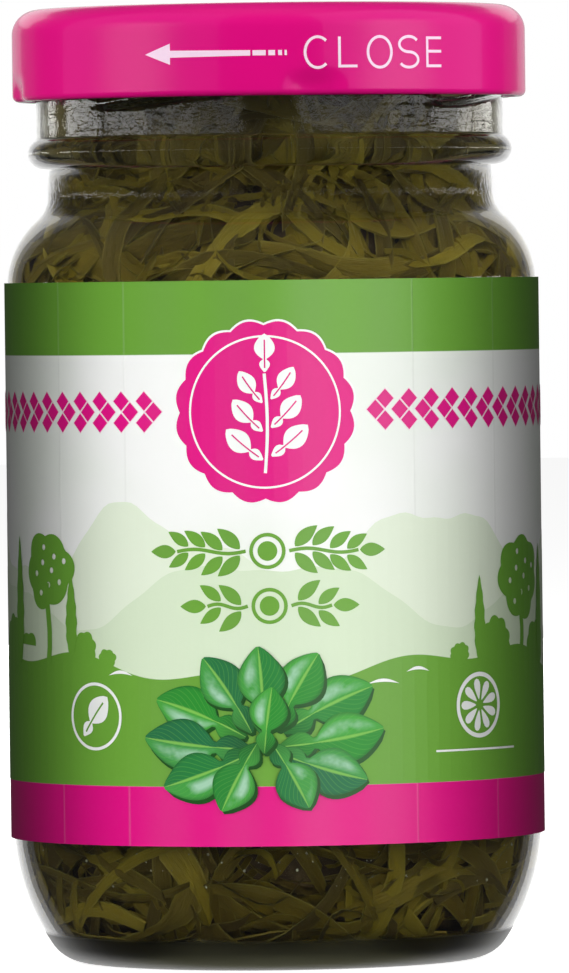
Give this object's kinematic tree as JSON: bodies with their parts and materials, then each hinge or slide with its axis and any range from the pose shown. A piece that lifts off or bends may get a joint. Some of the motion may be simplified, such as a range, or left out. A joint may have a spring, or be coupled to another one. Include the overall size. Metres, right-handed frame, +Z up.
{
  "type": "jar of shredded lime leaves",
  "caption": "Small glass jar of shredded makrut lime leaves in brine, with a wrap-round paper label and a pink twist-off metal lid that turns and rises on its threads.",
  "frame": {"origin": "on the jar's axis, in the plane of the ring that the jar stands on", "axes": "+Z up along the jar's axis to the lid, -Y towards the front of the label, +X to its right"},
  "size_m": [0.0528, 0.0528, 0.0939],
  "materials": {
    "jar_glass": "gloss",
    "label": "satin",
    "brine": "gloss",
    "leaf_strips": "satin",
    "lid_shell": "gloss",
    "lid_seal": "satin"
  },
  "bodies": {
    "jar": {"jar_glass": "jar_glass", "label": "label", "brine": "brine", "leaf_strips": "leaf_strips"},
    "seal": {"lid_seal": "lid_seal"},
    "lid": {"lid_shell": "lid_shell"}
  },
  "joints": [
    {"name": "lid_rise", "type": "slide", "parent": "jar", "child": "seal", "axis": [0, 0, 1], "range_m": [0, 0.0032]},
    {"name": "lid_turn", "type": "hinge", "parent": "seal", "child": "lid", "pos_m": [0, 0, 0.0893], "axis": [0, 0, 1], "range_deg": [0, 72]}
  ],
  "couplings": [
    {"joint": "lid_rise", "follows": "lid_turn", "m_per_rad": 0.0025464}
  ]
}
